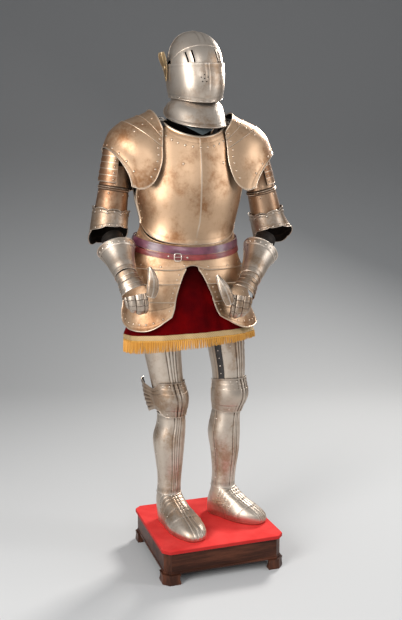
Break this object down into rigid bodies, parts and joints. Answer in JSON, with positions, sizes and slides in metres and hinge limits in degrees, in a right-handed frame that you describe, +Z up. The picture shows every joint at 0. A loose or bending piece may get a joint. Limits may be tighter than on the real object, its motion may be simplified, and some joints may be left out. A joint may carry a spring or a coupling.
{
  "type": "suit of plate armour on a wooden plinth",
  "caption": "Standing hollow suit of plate armour with a closed helmet, gauntlets, a fringed velvet skirt and belts, on a low wooden plinth topped with red cloth.",
  "frame": {"origin": "on the floor under the middle of the suit's overall width and depth; the plinth's middle is 25 mm to +X of it", "axes": "+Z up; the suit faces -Y; +X is on its left hand"},
  "size_m": [0.7637, 0.429, 1.8802],
  "materials": {
    "russet_steel": "hammered plate with a warm brown patina, worn bright on the high places",
    "grey_steel": "polished grey plate with light brown patina",
    "dark_steel": "unpolished dark plate",
    "pale_brass": "dull yellow metal",
    "purple_leather": "glazed dark purple leather",
    "red_leather": "glazed red leather",
    "black_leather": "old black leather",
    "slate_cloth": "slate grey cloth",
    "crimson_velvet": "crimson velvet",
    "gold_braid": "woven gold braid",
    "gold_fringe": "loose gold fringe",
    "red_cloth": "bright red felt, pulled tight over the board",
    "dark_wood": "dark stained and polished wood"
  },
  "bodies": {
    "suit": {"plinth_box": "dark_wood", "plinth_top": "red_cloth", "plinth_foot_front_right": "dark_wood", "plinth_foot_front_left": "dark_wood", "plinth_foot_back_right": "dark_wood", "plinth_foot_back_left": "dark_wood", "greave_right": "grey_steel", "cuisse_right": "grey_steel", "poleyn_right": "grey_steel", "sabaton_right": "grey_steel", "greave_left": "grey_steel", "cuisse_left": "grey_steel", "poleyn_left": "grey_steel", "sabaton_left": "grey_steel", "breastplate": "russet_steel", "backplate": "dark_steel", "waist_lame": "russet_steel", "shoulder_strap_right": "black_leather", "side_strap_right": "black_leather", "shoulder_strap_left": "black_leather", "side_strap_left": "black_leather", "belt_upper": "purple_leather", "belt_lower": "red_leather", "belt_buckle": "grey_steel", "fauld": "russet_steel", "culet": "dark_steel", "tasset_lames_right": "russet_steel", "tasset_plate_right": "russet_steel", "tasset_lames_left": "russet_steel", "tasset_plate_left": "russet_steel", "skirt": "crimson_velvet", "skirt_braid": "gold_braid", "skirt_fringe": "gold_fringe", "pauldron_right": "russet_steel", "arm_lames_right": "russet_steel", "rerebrace_right": "russet_steel", "couter_right": "grey_steel", "vambrace_right": "dark_steel", "gauntlet_cuff_right": "grey_steel", "hand_plates_right": "grey_steel", "fingers_right": "grey_steel", "thumb_right": "grey_steel", "pauldron_left": "russet_steel", "arm_lames_left": "russet_steel", "rerebrace_left": "russet_steel", "couter_left": "grey_steel", "vambrace_left": "dark_steel", "gauntlet_cuff_left": "grey_steel", "hand_plates_left": "grey_steel", "fingers_left": "grey_steel", "thumb_left": "grey_steel", "helm_skull": "grey_steel", "helm_side_plate_right": "pale_brass", "helm_side_plate_left": "pale_brass", "helm_neck_front": "grey_steel", "helm_neck_back": "grey_steel", "collar": "slate_cloth"},
    "bevor": {"helm_bevor": "grey_steel"},
    "visor": {"helm_visor": "grey_steel"}
  },
  "joints": [
    {"name": "chin_raise", "type": "hinge", "parent": "suit", "child": "bevor", "pos_m": [-0.018, 0.016, 1.764], "axis": [-0.9957, -0.0696, -0.061], "range_deg": [0, 45]},
    {"name": "visor_raise", "type": "hinge", "parent": "bevor", "child": "visor", "pos_m": [-0.018, 0.016, 1.764], "axis": [-0.9957, -0.0696, -0.061], "range_deg": [0, 50]}
  ]
}
